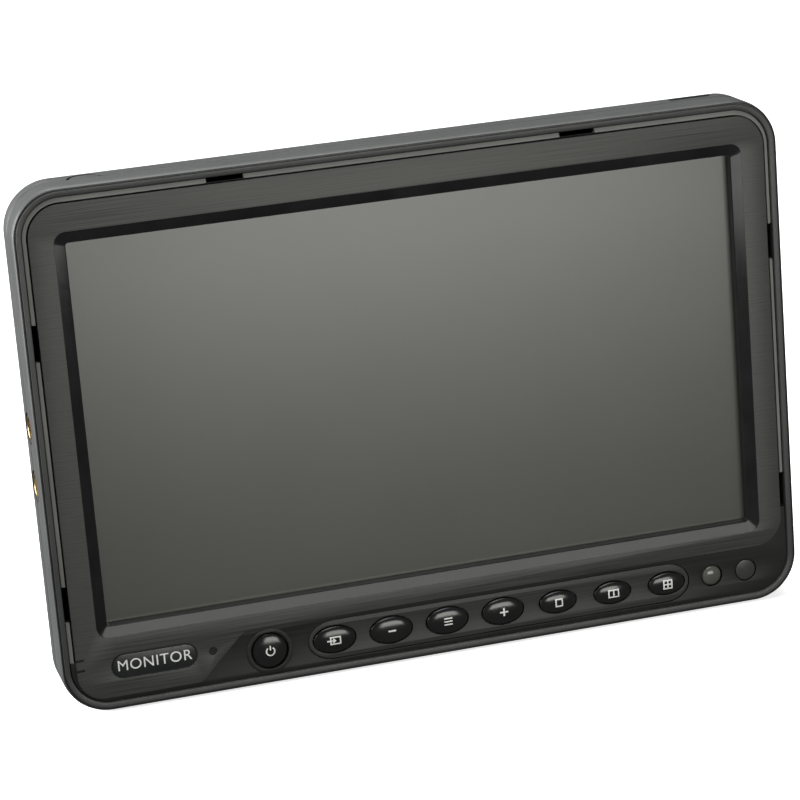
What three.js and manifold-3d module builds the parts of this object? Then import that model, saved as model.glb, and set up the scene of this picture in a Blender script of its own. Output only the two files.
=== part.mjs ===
// Quad-view rear-view monitor for a vehicle, built as an openable assembly. Its nine-inch scale is assumed.
// Millimetres, +Z up, +X right as the driver sees it, the screen faces -Y.
// The origin is on the surface the monitor stands on, below the middle of its box.
// Lengths named "depth" run from the front rim (0) towards the back.
import * as THREE from 'three';
import { mergeVertices } from 'three/addons/utils/BufferGeometryUtils.js';
import Module from 'manifold-3d';

const wasm = await Module();
wasm.setup();

// ---------- driving dimensions ----------
const CASE_W = 231;
const CASE_H = 157;
const CASE_R = 14.3;
const CASE_DEPTH = 31;
const PROUD = 0.5;              // button crowns stand this far in front of the rim
const FRONT_Y = PROUD - (CASE_DEPTH + PROUD) / 2;
const MID_Z = CASE_H / 2;
const GAP = 0.3;                // clearance between neighbouring pieces
const CORNER_STEPS = 4;         // an arc takes twice this many straight pieces

const RIM_INSET = 2.8;          // case side to the pocket that holds the face plate
const POCKET_DEPTH = 2.4;
const FRAME_BACK = 3.8;         // back of the front frame's wall
const PARTING = 9.5;            // back edge of the front frame
const PARTING_GAP = 0.4;
const WALL = 2.5;
const SKIN = 2;

const LEDGE_DEPTH = 0.6;        // ledge and control surface
const FIELD_DEPTH = 0.15;       // raised brushed field
const PLATE_BACK = 2.1;
const FIELD_X = 110.9;
const FIELD_TOP = 73.7;
const FIELD_R = 9.6;
const CONTROL_TOP = -60.7;      // step between the field and the control surface
const FIELD_FOOT = -74.3;

const SCREEN_X = 100.4;         // visible opening, half width
const SCREEN_LOW = -52.5;
const SCREEN_HIGH = 62.15;
const CHAMFER = 3.35;
const CHAMFER_DEPTH = 1.0;
const SCREEN_DEPTH = 4.1;

const SIDE_STRAIGHT = 15.5;     // depth where the rear rounding starts
const BACK_DEPTH = 21;
const BACK_R = BACK_DEPTH - SIDE_STRAIGHT;
const PLATEAU_DEPTH = 24;

const KEY_Z = -68.1;
const KEY_TRAVEL_GAP = 0.9;     // key stem to switch plunger
const BOARD_FRONT = 10.2;
const SWITCH_H = 3.5;
const KEYS = [
  { name: 'power', x: -53, w: 10.6, h: 10.6 },
  { name: 'av', x: -33, w: 12.8, h: 8.1 },
  { name: 'minus', x: -15.4, w: 12.8, h: 8.1 },
  { name: 'menu', x: 2.2, w: 12.8, h: 8.1 },
  { name: 'plus', x: 19.8, w: 12.8, h: 8.1 },
  { name: 'single_view', x: 37.4, w: 11.5, h: 6.8 },
  { name: 'split_view', x: 55, w: 11.5, h: 6.8 },
  { name: 'quad_view', x: 72.6, w: 11.5, h: 6.8 },
];
const IR = { x: 87.4, z: -68, r: 3.15 };
const SENSOR = { x: 98.6, z: -68, r: 3.2 };
const LED = { x: -70.1, z: -65.2, r: 0.95 };
const BADGE = { x: -87.7, z: -65.2, w: 25.7, h: 7.5 };
const CLIP_LENGTH = 11;
const CLIP_WIDTH = 1.85;
const CLIP_X = [-53, 53];
const CLIP_Z = [34.3, -44];
const GROOVE = { width: 0.45, depth: 1.4, leftEnd: -62, rightEnd: -49.5 };
const STRIP = { low: -74.2, high: -61.9, leftR: 8.2, rightR: 7.4 };
const TICKS = { x0: -111.1, x1: -108.5, z: [-61.5, -64.7], half: 0.35, depth: 1.2 };
const TONGUE = { x: -91.7, r: 4.3 };      // half-round tab in the top side
const NOTCH = { x0: 86.9, x1: 100.2, depth: 0.5 };
const JACK_Z = [7.7, -9.7];
const JACK_DEPTH = PARTING + PARTING_GAP / 2;
const JACK_HOLE_R = 4.8;
const CASE_SCREWS = [
  [-109.2, 60], [109.2, 60], [-109.2, -34], [109.2, -34], [-108.3, -67], [108.3, -67],
];
const PLATEAU = { x: 84, low: -47, high: 52, r: 8 };
const VENTS = { x: 52, low: 26, pitch: 3.6, count: 7, half: 18, halfWidth: 0.8 };
const GRILLE = { pitch: 3, count: 6, halfWidth: 0.7 };
const RAIL = { z: -6, w: 44, h: 46, back: CASE_DEPTH, slot: 14, channel: 24 };
const SOCKET = { x: 62, z: -58, r: 7 };
const SPEAKER = { x: -58, z: -32, r: 13 };
const PANEL = { x: 105.2, low: -58.2, high: 67.8, back: 9.7 };
const MAIN = { left: -40, right: 76, low: -44, high: 48, near: 13, far: 14.6 };
const JACK_END = -110.6;

// ---------- materials ----------
function finish(color, roughness, metalness) {
  return new THREE.MeshStandardMaterial({ color, roughness, metalness });
}
const BLACK_ABS = finish(0x2b2c2c, 0.45, 0);
const BRUSHED = finish(0x3a3b3a, 0.4, 0.5);
const GLOSS_BLACK = finish(0x151617, 0.15, 0);
const GREY_SCREEN = finish(0x5f605a, 0.2, 0);
const CLEAR_SMOKE = finish(0x4c4b46, 0.1, 0);
const STEEL = finish(0xa8aaac, 0.35, 1);
const BRASS = finish(0xc39a3c, 0.3, 1);
const WHITE_PLASTIC = finish(0xd8d4cb, 0.5, 0);
const RED_PLASTIC = finish(0x8c2f28, 0.5, 0);
const BOARD_GREEN = finish(0x24523a, 0.6, 0);
const RIBBON = finish(0xc9ccd0, 0.5, 0);

// ---------- geometry helpers ----------
const part = new THREE.Group();

function solidOf(geometry) {
  const bare = geometry.clone();
  bare.deleteAttribute('normal');
  bare.deleteAttribute('uv');
  const merged = mergeVertices(bare, 1e-4);
  return new wasm.Manifold(new wasm.Mesh({
    numProp: 3,
    vertProperties: new Float32Array(merged.attributes.position.array),
    triVerts: new Uint32Array(merged.index.array),
  }));
}

function geometryOf(solid) {
  const mesh = solid.getMesh();
  const geometry = new THREE.BufferGeometry();
  geometry.setAttribute('position', new THREE.BufferAttribute(mesh.vertProperties, 3));
  geometry.setIndex(new THREE.BufferAttribute(mesh.triVerts, 1));
  geometry.computeVertexNormals();
  return geometry;
}

function cut(base, ...tools) {
  return tools.reduce((left, tool) => left.subtract(tool), base);
}

function join(base, ...extras) {
  return extras.reduce((left, extra) => left.add(extra), base);
}

function addPart(name, shape, material) {
  const geometry = shape.isBufferGeometry ? shape : geometryOf(shape);
  const mesh = new THREE.Mesh(geometry, material);
  mesh.name = name;
  part.add(mesh);
}

// Rounded rectangle seen from the front, counter-clockwise, x right and z up from mid-face.
function roundRect(x0, x1, z0, z1, r) {
  const shape = new THREE.Shape();
  shape.absarc(x1 - r, z1 - r, r, 0, Math.PI / 2);
  shape.absarc(x0 + r, z1 - r, r, Math.PI / 2, Math.PI);
  shape.absarc(x0 + r, z0 + r, r, Math.PI, 1.5 * Math.PI);
  shape.absarc(x1 - r, z0 + r, r, 1.5 * Math.PI, 2 * Math.PI);
  shape.closePath();
  return shape;
}

function centredRect(w, h, r) {
  return roundRect(-w / 2, w / 2, -h / 2, h / 2, r);
}

function oval(x, z, w, h) {
  const shape = new THREE.Shape();
  shape.absellipse(x, z, w / 2, h / 2, 0, 2 * Math.PI);
  return shape;
}

// A flat piece with the given outline between two depths.
function slab(shape, near, far, steps = CORNER_STEPS) {
  const geometry = new THREE.ExtrudeGeometry(shape, {
    depth: far - near, bevelEnabled: false, curveSegments: steps,
  });
  geometry.rotateX(Math.PI / 2);
  geometry.translate(0, FRONT_Y + far, MID_Z);
  return geometry;
}

function slabSolid(shape, near, far, steps) {
  return solidOf(slab(shape, near, far, steps));
}

function block(x0, x1, z0, z1, near, far) {
  const geometry = new THREE.BoxGeometry(x1 - x0, far - near, z1 - z0);
  geometry.translate((x0 + x1) / 2, FRONT_Y + (near + far) / 2, MID_Z + (z0 + z1) / 2);
  return geometry;
}

function blockSolid(...edges) {
  return solidOf(block(...edges));
}

// Turned piece on an axis that runs front to back; profile points are [radius, depth].
function turned(x, z, profile, steps = 16) {
  const points = profile.map(([radius, depth]) => new THREE.Vector2(radius, depth));
  const geometry = new THREE.LatheGeometry(points, steps);
  geometry.translate(x, FRONT_Y, MID_Z + z);
  return geometry;
}

// Closed loft through sections of equal point count, each { shape, depth, steps }.
function loft(sections) {
  const rings = sections.map(({ shape, depth, steps = CORNER_STEPS }) => {
    const points = shape.getPoints(steps);
    const open = points.filter((p, i) => i === 0 || p.distanceTo(points[i - 1]) > 1e-5);
    if (open[0].distanceTo(open[open.length - 1]) < 1e-5) {
      open.pop();
    }
    return open.map((p) => [p.x, FRONT_Y + depth, MID_Z + p.y]);
  });
  const count = rings[0].length;
  const indices = [];
  for (let r = 0; r < rings.length - 1; r += 1) {
    for (let i = 0; i < count; i += 1) {
      const a = r * count + i;
      const b = r * count + ((i + 1) % count);
      indices.push(a, a + count, b, b, a + count, b + count);
    }
  }
  const last = (rings.length - 1) * count;
  for (let i = 1; i < count - 1; i += 1) {
    indices.push(0, i, i + 1);
    indices.push(last, last + i + 1, last + i);
  }
  const geometry = new THREE.BufferGeometry();
  geometry.setAttribute('position', new THREE.Float32BufferAttribute(rings.flat(2), 3));
  geometry.setIndex(indices);
  geometry.computeVertexNormals();
  return geometry;
}

// Case outline pulled in by an inset.
function caseOutline(inset) {
  return centredRect(CASE_W - 2 * inset, CASE_H - 2 * inset, CASE_R - inset);
}

function caseLoft(profile) {
  return solidOf(loft(profile.map(([inset, depth]) => ({ shape: caseOutline(inset), depth }))));
}

// Edges of the screen opening, moved out by a margin.
function screenRect(margin) {
  return [-SCREEN_X - margin, SCREEN_X + margin, SCREEN_LOW - margin, SCREEN_HIGH + margin];
}

// ---------- front frame ----------
function clipCutter(x0, x1, z0, z1) {
  return blockSolid(x0, x1, z0, z1, -1, FRAME_BACK + 1);
}

// Six slots in the ledge that take the clips of a sunshade.
function clipCutters() {
  const half = CLIP_LENGTH / 2;
  const cutters = [];
  for (const x of CLIP_X) {
    cutters.push(clipCutter(x - half, x + half, FIELD_TOP + 0.2, FIELD_TOP + 0.2 + CLIP_WIDTH));
  }
  for (const z of CLIP_Z) {
    cutters.push(clipCutter(-FIELD_X - CLIP_WIDTH, -FIELD_X, z - half, z + half));
    cutters.push(clipCutter(FIELD_X, FIELD_X + CLIP_WIDTH, z - half, z + half));
  }
  return cutters;
}

function keyCutters(clearance, near, far) {
  return KEYS.map((key) => {
    const hole = oval(key.x, KEY_Z, key.w + 2 * clearance, key.h + 2 * clearance);
    return slabSolid(hole, near, far, 10);
  });
}

function roundCutter(spot, clearance, near, far) {
  const width = 2 * (spot.r + clearance);
  return slabSolid(oval(spot.x, spot.z, width, width), near, far, 7);
}

// A hole that runs in from the left side, half in the frame and half in the rear cover.
function jackCutter(z) {
  const geometry = new THREE.CylinderGeometry(JACK_HOLE_R, JACK_HOLE_R, 8, 20);
  geometry.rotateZ(Math.PI / 2);
  geometry.translate(-CASE_W / 2, FRONT_Y + JACK_DEPTH, MID_Z + z);
  return solidOf(geometry);
}

// Half-round tongue on the top edge, and the notch that takes it.
function tongueSolid(radius, far) {
  const shape = new THREE.Shape();
  shape.moveTo(radius, 0);
  shape.absarc(0, 0, radius, 0, Math.PI);
  shape.closePath();
  const geometry = new THREE.ExtrudeGeometry(shape, {
    depth: far, bevelEnabled: false, curveSegments: 5,
  });
  geometry.translate(TONGUE.x, FRONT_Y + PARTING - 0.01, CASE_H - far);
  return solidOf(geometry);
}

function frontFrame() {
  const shell = caseLoft([[0.8, 0], [0.5, 0.25], [0.12, 1.4], [0, 3], [0, PARTING]]);
  const hollow = caseLoft([[WALL, FRAME_BACK], [WALL, PARTING + 1]]);
  const pocket = caseLoft([[RIM_INSET, -1], [RIM_INSET, POCKET_DEPTH]]);
  const window = slabSolid(roundRect(...screenRect(0.4), 1.2), 0, 6, 2);
  let frame = cut(shell, hollow, pocket, window, ...clipCutters());
  frame = cut(frame, ...keyCutters(0.5, 0, 6));
  frame = cut(frame, ...[IR, SENSOR, LED].map((spot) => roundCutter(spot, 0.5, 0, 6)));
  for (const [x, z] of CASE_SCREWS) {
    const boss = slabSolid(oval(x, z, 6, 6), FRAME_BACK - 0.2, PARTING, 6);
    const pilot = slabSolid(oval(x, z, 3.4, 3.4), FRAME_BACK + 0.6, PARTING + 1, 6);
    frame = join(frame, boss).subtract(pilot);
  }
  frame = join(frame, tongueSolid(TONGUE.r, WALL - 0.5));
  return cut(frame, ...JACK_Z.map(jackCutter));
}

// ---------- face plate ----------
// Raised field: full width above the control surface, with a foot at lower left.
function fieldOutline() {
  const cornerR = 8.5;
  const footR = 8;
  const riseStart = -75.7;
  const riseEnd = -58.3;
  const lowR = 4;
  const highR = 5;
  const shape = new THREE.Shape();
  shape.moveTo(FIELD_X, CONTROL_TOP + cornerR);
  shape.absarc(FIELD_X - FIELD_R, FIELD_TOP - FIELD_R, FIELD_R, 0, Math.PI / 2);
  shape.absarc(-FIELD_X + FIELD_R, FIELD_TOP - FIELD_R, FIELD_R, Math.PI / 2, Math.PI);
  shape.absarc(-FIELD_X + footR, FIELD_FOOT + footR, footR, Math.PI, 1.5 * Math.PI);
  shape.absarc(riseStart, FIELD_FOOT + lowR, lowR, -Math.PI / 2, -Math.PI / 4);
  shape.absarc(riseEnd, CONTROL_TOP - highR, highR, 0.75 * Math.PI, Math.PI / 2, true);
  shape.absarc(FIELD_X - cornerR, CONTROL_TOP + cornerR, cornerR, -Math.PI / 2, 0);
  shape.closePath();
  return shape;
}

// Narrow groove round the left, top and right of the raised field.
function grooveOutline() {
  const { width, leftEnd, rightEnd } = GROOVE;
  const outerX = FIELD_X + width;
  const outerTop = FIELD_TOP + width;
  const outerR = FIELD_R + width;
  const shape = new THREE.Shape();
  shape.moveTo(outerX, rightEnd);
  shape.absarc(outerX - outerR, outerTop - outerR, outerR, 0, Math.PI / 2);
  shape.absarc(-outerX + outerR, outerTop - outerR, outerR, Math.PI / 2, Math.PI);
  shape.lineTo(-outerX, leftEnd);
  shape.lineTo(-FIELD_X, leftEnd);
  shape.absarc(-FIELD_X + FIELD_R, FIELD_TOP - FIELD_R, FIELD_R, Math.PI, Math.PI / 2, true);
  shape.absarc(FIELD_X - FIELD_R, FIELD_TOP - FIELD_R, FIELD_R, Math.PI / 2, 0, true);
  shape.lineTo(FIELD_X, rightEnd);
  shape.closePath();
  return shape;
}

// Sunk strip behind the seven oval keys, with elliptical ends.
function stripOutline() {
  const first = KEYS[1].x;
  const last = KEYS[KEYS.length - 1].x;
  const mid = (STRIP.high + STRIP.low) / 2;
  const half = (STRIP.high - STRIP.low) / 2;
  const shape = new THREE.Shape();
  shape.moveTo(first, STRIP.low);
  shape.lineTo(last, STRIP.low);
  shape.absellipse(last, mid, STRIP.rightR, half, -Math.PI / 2, Math.PI / 2);
  shape.absellipse(first, mid, STRIP.leftR, half, Math.PI / 2, 1.5 * Math.PI);
  shape.closePath();
  return shape;
}

// The bevelled edge of the screen opening, then a straight wall.
function windowCutter() {
  const slope = CHAMFER / (CHAMFER_DEPTH - FIELD_DEPTH);
  const grown = (extra, r, depth) => ({
    shape: roundRect(...screenRect(extra), r),
    depth,
    steps: 2,
  });
  return solidOf(loft([
    grown(CHAMFER + slope * 0.4, 4.5, FIELD_DEPTH - 0.4),
    grown(0, 0.9, CHAMFER_DEPTH),
    grown(0, 0.9, PLATE_BACK + 1),
  ]));
}

// Pill-shaped outline of the badge, pulled in by a clearance.
function badgeOutline(clearance) {
  const halfW = BADGE.w / 2 - clearance;
  const halfH = BADGE.h / 2 - clearance;
  const { x, z } = BADGE;
  return roundRect(x - halfW, x + halfW, z - halfH, z + halfH, halfH - 0.01);
}

function facePlate() {
  const base = caseLoft([[RIM_INSET + GAP, LEDGE_DEPTH], [RIM_INSET + GAP, PLATE_BACK]]);
  const field = slabSolid(fieldOutline(), FIELD_DEPTH, LEDGE_DEPTH + 0.1);
  const collar = slabSolid(oval(KEYS[0].x, KEY_Z, 14, 14), LEDGE_DEPTH - 0.35, LEDGE_DEPTH + 0.1, 12);
  let plate = join(base, field, collar);
  plate = cut(plate, slabSolid(grooveOutline(), 0, GROOVE.depth));
  plate = cut(plate, slabSolid(stripOutline(), 0, LEDGE_DEPTH + 0.3, 6));
  plate = cut(plate, windowCutter(), ...clipCutters(), ...keyCutters(GAP, -1, 4));
  plate = cut(plate, ...[IR, SENSOR, LED].map((spot) => roundCutter(spot, GAP, -1, 4)));
  plate = cut(plate, slabSolid(badgeOutline(0), -1, 0.9));
  for (const z of TICKS.z) {
    plate = cut(plate, blockSolid(TICKS.x0, TICKS.x1, z - TICKS.half, z + TICKS.half, -1, TICKS.depth));
  }
  return plate;
}

function badgeInsert() {
  return slab(badgeOutline(GAP), 0.3, 0.8);
}

// ---------- keys and their switches ----------
function keyCap({ x, w, h }) {
  const crown = [[0.3, -PROUD], [0.62, -0.22], [0.84, 0.28], [0.96, 0.85], [1, 1.5], [1, FRAME_BACK + 0.3]];
  const body = loft(crown.map(([scale, depth]) => ({
    shape: oval(x, KEY_Z, w * scale, h * scale), depth, steps: 10,
  })));
  const flange = slabSolid(oval(x, KEY_Z, w + 2.4, h + 2.4), FRAME_BACK + 0.29, FRAME_BACK + 1.1, 8);
  const plungerTip = BOARD_FRONT - SWITCH_H - 0.8;
  const stem = slabSolid(oval(x, KEY_Z, 3, 3), FRAME_BACK + 1, plungerTip - KEY_TRAVEL_GAP, 5);
  return join(solidOf(body), flange, stem);
}

function keySwitch(x) {
  const top = BOARD_FRONT - SWITCH_H;
  const body = blockSolid(x - 3, x + 3, KEY_Z - 3, KEY_Z + 3, top, BOARD_FRONT - 0.02);
  const plunger = slabSolid(oval(x, KEY_Z, 3.4, 3.4), top - 0.8, top + 0.1, 4);
  return join(body, plunger);
}

// ---------- rear cover ----------
function roundedProfile(inset, start, radius, near) {
  const profile = [[inset, near], [inset, start]];
  const steps = 3;
  for (let i = 1; i <= steps; i += 1) {
    const turn = (i / steps) * (Math.PI / 2);
    profile.push([inset + radius * (1 - Math.cos(turn)), start + radius * Math.sin(turn)]);
  }
  return profile;
}

function plateau(grow, near, far) {
  const { x, low, high, r } = PLATEAU;
  const outline = (extra) => roundRect(-x - extra, x + extra, low - extra, high + extra, r + extra);
  return solidOf(loft([{ shape: outline(grow + 2), depth: near }, { shape: outline(grow), depth: far }]));
}

// Slot through the back wall, centred on x and z.
function slotCutter(x, z, half, halfWidth) {
  return blockSolid(x - half, x + half, z - halfWidth, z + halfWidth, BACK_DEPTH - 3, PLATEAU_DEPTH + 1);
}

function ventCutters() {
  const cutters = [];
  for (const x of [-VENTS.x, VENTS.x]) {
    for (let i = 0; i < VENTS.count; i += 1) {
      cutters.push(slotCutter(x, VENTS.low + i * VENTS.pitch, VENTS.half, VENTS.halfWidth));
    }
  }
  for (let i = 0; i < GRILLE.count; i += 1) {
    const rise = (i - (GRILLE.count - 1) / 2) * GRILLE.pitch;
    const half = Math.sqrt(SPEAKER.r ** 2 - rise ** 2) - 1.5;
    cutters.push(slotCutter(SPEAKER.x, SPEAKER.z + rise, half, GRILLE.halfWidth));
  }
  return cutters;
}

function rearCover() {
  const front = PARTING + PARTING_GAP;
  const outer = caseLoft(roundedProfile(0, SIDE_STRAIGHT, BACK_R, front));
  const inner = caseLoft(roundedProfile(SKIN, SIDE_STRAIGHT, BACK_R - SKIN, front - 1));
  let cover = cut(join(outer, plateau(0, BACK_DEPTH - 0.2, PLATEAU_DEPTH)), inner);
  cover = cut(cover, plateau(-SKIN - 1.5, BACK_DEPTH - SKIN - 1, PLATEAU_DEPTH - SKIN));
  const lip = caseLoft([[WALL + GAP, PARTING - 1.2], [WALL + GAP, front + 2]]);
  const lipBore = caseLoft([[WALL + GAP + 1, PARTING - 2], [WALL + GAP + 1, front + 3]]);
  const web = caseLoft([[SKIN - 0.2, front], [SKIN - 0.2, front + 1.5]]);
  const webBore = caseLoft([[WALL + GAP + 0.5, front - 1], [WALL + GAP + 0.5, front + 3]]);
  cover = join(cover, cut(lip, lipBore), cut(web, webBore));
  for (const [x, z] of CASE_SCREWS) {
    const tower = slabSolid(oval(x, z, 7, 7), PARTING + 0.3, BACK_DEPTH - 1, 6);
    const well = slabSolid(oval(x, z, 5.2, 5.2), SIDE_STRAIGHT + 0.5, BACK_DEPTH + 1, 6);
    const bore = slabSolid(oval(x, z, 3.6, 3.6), PARTING - 2, BACK_DEPTH + 1, 6);
    const throat = slabSolid(oval(x, z, 6.6, 6.6), PARTING - 2, PARTING + 0.3, 6);
    cover = cut(join(cover, tower), well, bore, throat);
  }
  cover = cut(cover, ...ventCutters(), roundCutter(SOCKET, GAP, BACK_DEPTH - 6, BACK_DEPTH + 4));
  cover = cut(cover, tongueSolid(TONGUE.r + 0.5, WALL + 0.3), ...JACK_Z.map(jackCutter));
  const notchFloor = MID_Z - NOTCH.depth;
  cover = cut(cover, blockSolid(NOTCH.x0, NOTCH.x1, notchFloor, MID_Z + 1, front + 0.6, SIDE_STRAIGHT));
  for (const [x, z] of railHoles()) {
    cover = cut(cover, slabSolid(oval(x, z, 3.4, 3.4), BACK_DEPTH - 3, PLATEAU_DEPTH + 1, 12));
  }
  return cover;
}

// ---------- stand rail ----------
function railHoles() {
  const dx = RAIL.w / 2 - 5;
  const dz = RAIL.h / 2 - 6;
  return [[-dx, RAIL.z + dz], [dx, RAIL.z + dz], [-dx, RAIL.z - dz], [dx, RAIL.z - dz]];
}

// T-slot receiver, open at the bottom, closed at the top by a stop.
function standRail() {
  const near = PLATEAU_DEPTH + 0.2;
  const low = RAIL.z - RAIL.h / 2;
  const high = RAIL.z + RAIL.h / 2;
  const body = slabSolid(roundRect(-RAIL.w / 2, RAIL.w / 2, low, high, 3), near, RAIL.back);
  const top = high - 4;
  const halfChannel = RAIL.channel / 2;
  const halfSlot = RAIL.slot / 2;
  const channel = blockSolid(-halfChannel, halfChannel, low - 1, top, near + 1, RAIL.back - 1.4);
  const mouth = blockSolid(-halfSlot, halfSlot, low - 1, top, near + 0.5, RAIL.back + 1);
  let rail = cut(body, channel, mouth);
  for (const [x, z] of railHoles()) {
    const seat = slabSolid(oval(x, z, 6.6, 6.6), near + 2, RAIL.back + 1, 6);
    const hole = slabSolid(oval(x, z, 3.6, 3.6), near - 1, RAIL.back + 1, 6);
    rail = cut(rail, seat, hole);
  }
  return rail;
}

// Pan-head screw with its head towards the back.
function screw(x, z, seat, length, headR, shankR) {
  return turned(x, z, [
    [0, seat - length], [shankR * 0.6, seat - length], [shankR, seat - length + 0.8],
    [shankR, seat], [headR, seat], [headR, seat + 0.8], [headR * 0.7, seat + 1.4], [0, seat + 1.5],
  ], 12);
}

// ---------- sockets on the left side ----------
// Turned piece whose axis runs in from the left side; profile points are [radius, x].
function sideTurned(z, profile, steps = 18) {
  const points = profile.map(([radius, x]) => new THREE.Vector2(radius, x));
  const geometry = new THREE.LatheGeometry(points, steps);
  geometry.rotateZ(-Math.PI / 2);
  geometry.translate(0, FRONT_Y + JACK_DEPTH, MID_Z + z);
  return geometry;
}

function jackBarrel(z) {
  const mouth = -CASE_W / 2 + 0.2;
  return sideTurned(z, [
    [3.3, mouth], [4.0, mouth], [4.15, mouth + 0.2], [4.15, JACK_END], [3.3, JACK_END], [3.3, mouth],
  ]);
}

function jackCore(z) {
  const face = -CASE_W / 2 + 1;
  return sideTurned(z, [[1.6, face], [3.0, face], [3.0, JACK_END], [1.6, JACK_END], [1.6, face]]);
}

// ---------- assembly ----------
addPart('front_frame', frontFrame(), BLACK_ABS);
addPart('face_plate', facePlate(), BRUSHED);
addPart('badge_insert', badgeInsert(), GLOSS_BLACK);

for (const key of KEYS) {
  addPart(`${key.name}_button`, keyCap(key), GLOSS_BLACK);
  addPart(`${key.name}_switch`, keySwitch(key.x), STEEL);
}

addPart('status_led', slab(oval(LED.x, LED.z, 2 * LED.r, 2 * LED.r), 0.7, 6, 5), CLEAR_SMOKE);
const irProfile = [
  [0, -0.3], [1.2, -0.18], [2.2, 0.1], [2.9, 0.5], [IR.r, 1], [IR.r, 4.1], [4.4, 4.1], [4.4, 4.9], [0, 4.9],
];
addPart('ir_window', turned(IR.x, IR.z, irProfile, 18), CLEAR_SMOKE);
const sensorProfile = [[0, 0.75], [SENSOR.r, 0.75], [SENSOR.r, 4.1], [4.4, 4.1], [4.4, 4.9], [0, 4.9]];
addPart('sensor_window', turned(SENSOR.x, SENSOR.z, sensorProfile, 18), CLEAR_SMOKE);

// Block soldered to the front of the key board behind a window.
function boardBlock(spot, halfW, halfH, near) {
  return block(spot.x - halfW, spot.x + halfW, spot.z - halfH, spot.z + halfH, near, BOARD_FRONT - 0.02);
}

addPart('ir_receiver', boardBlock(IR, 3, 3.5, 5.3), BLACK_ABS);
addPart('light_sensor', boardBlock(SENSOR, 2, 2, 8.2), CLEAR_SMOKE);
addPart('key_board', block(-74, 103.8, -74.3, -60.5, BOARD_FRONT, BOARD_FRONT + 1.2), BOARD_GREEN);

// Steel frame folded round the panel: a face border and four sides.
function panelFrame() {
  const sheet = 0.6;
  const { x, low, high } = PANEL;
  const outer = blockSolid(-x, x, low, high, SCREEN_DEPTH, PANEL.back - 1);
  const inner = blockSolid(-x + sheet, x - sheet, low + sheet, high - sheet, SCREEN_DEPTH + 0.4, 20);
  return cut(outer, inner, blockSolid(...screenRect(0.9), 0, 20));
}

function panelLayer(near, far, margin) {
  return block(-PANEL.x + margin, PANEL.x - margin, PANEL.low + margin, PANEL.high - margin, near, far);
}

addPart('panel_frame', panelFrame(), STEEL);
addPart('lcd_glass', panelLayer(SCREEN_DEPTH + 0.5, 5.8, 0.9), GREY_SCREEN);
addPart('light_guide', panelLayer(5.9, 8.4, 0.9), WHITE_PLASTIC);
addPart('panel_tray', panelLayer(PANEL.back - 0.9, PANEL.back - 0.3, 0), STEEL);

addPart('main_board', block(MAIN.left, MAIN.right, MAIN.low, MAIN.high, MAIN.near, MAIN.far), BOARD_GREEN);
addPart('video_processor', block(2, 26, -8, 16, MAIN.far + 0.02, 16.4), BLACK_ABS);
addPart('panel_connector', block(-24, 8, 36, 41, MAIN.far + 0.02, 17), WHITE_PLASTIC);
addPart('power_inductor', block(48, 60, -34, -22, MAIN.far + 0.02, 19.2), BLACK_ABS);
[[40, -28], [66, -28]].forEach(([x, z], i) => {
  const can = turned(x, z, [[0, MAIN.far + 0.02], [3.15, MAIN.far + 0.02], [3.15, 20.8], [0, 20.8]], 14);
  addPart(`filter_capacitor_${i + 1}`, can, STEEL);
});

// Flat ribbon that leaves the panel at the top, folds back and enters the main board.
function ribbon(x0, x1, path) {
  const thick = 0.25;
  const shape = new THREE.Shape(path.map(([y, z]) => new THREE.Vector2(y, z)));
  const back = [...path].reverse().map(([y, z]) => new THREE.Vector2(y + thick, z + thick));
  back.forEach((p) => shape.lineTo(p.x, p.y));
  shape.closePath();
  const geometry = new THREE.ExtrudeGeometry(shape, { depth: x1 - x0, bevelEnabled: false });
  geometry.applyMatrix4(new THREE.Matrix4().set(0, 0, 1, x0, 1, 0, 0, FRONT_Y, 0, 1, 0, MID_Z, 0, 0, 0, 1));
  return geometry;
}
addPart('panel_ribbon', ribbon(-22, 6, [[10, 55], [12.4, 52.5], [17.6, 49.5], [17.6, 38]]), RIBBON);

const speakerProfile = [
  [0, 12], [6.5, 12], [6.5, 16], [SPEAKER.r, 17.6],
  [SPEAKER.r, 18.8], [SPEAKER.r - 1.6, 18.8], [4, 17.8], [0, 18.3],
];
addPart('speaker', turned(SPEAKER.x, SPEAKER.z, speakerProfile, 18), BLACK_ABS);

JACK_Z.forEach((z, i) => {
  const place = ['upper', 'lower'][i];
  addPart(`${place}_jack_barrel`, jackBarrel(z), BRASS);
  addPart(`${place}_jack_core`, jackCore(z), [RED_PLASTIC, WHITE_PLASTIC][i]);
});
addPart('jack_block', block(-110.3, -105.6, -15.4, 13.4, 5, 14.4), BLACK_ABS);
addPart('jack_board', block(-112, -96, -18, 16, 14.8, 16), BOARD_GREEN);

addPart('rear_cover', rearCover(), BLACK_ABS);
CASE_SCREWS.forEach(([x, z], i) => {
  addPart(`case_screw_${i + 1}`, screw(x, z, SIDE_STRAIGHT + 0.52, 10.5, 2.3, 1.4), STEEL);
});
addPart('stand_rail', standRail(), BLACK_ABS);
railHoles().forEach(([x, z], i) => {
  addPart(`rail_screw_${i + 1}`, screw(x, z, PLATEAU_DEPTH + 2.22, 5, 2.9, 1.4), STEEL);
});

const socketShell = [
  [5.6, 15.5], [SOCKET.r, 15.5], [SOCKET.r, 21.6], [SOCKET.r - 0.4, 22], [5.6, 22], [5.6, 15.5],
];
addPart('harness_socket', turned(SOCKET.x, SOCKET.z, socketShell, 20), STEEL);
const socketCore = [[0, 14.8], [5.3, 14.8], [5.3, 17], [0, 17]];
addPart('socket_core', turned(SOCKET.x, SOCKET.z, socketCore, 20), BLACK_ABS);

export default part;
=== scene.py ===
import math

import bmesh
import bpy
from mathutils import Matrix, Vector


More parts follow.
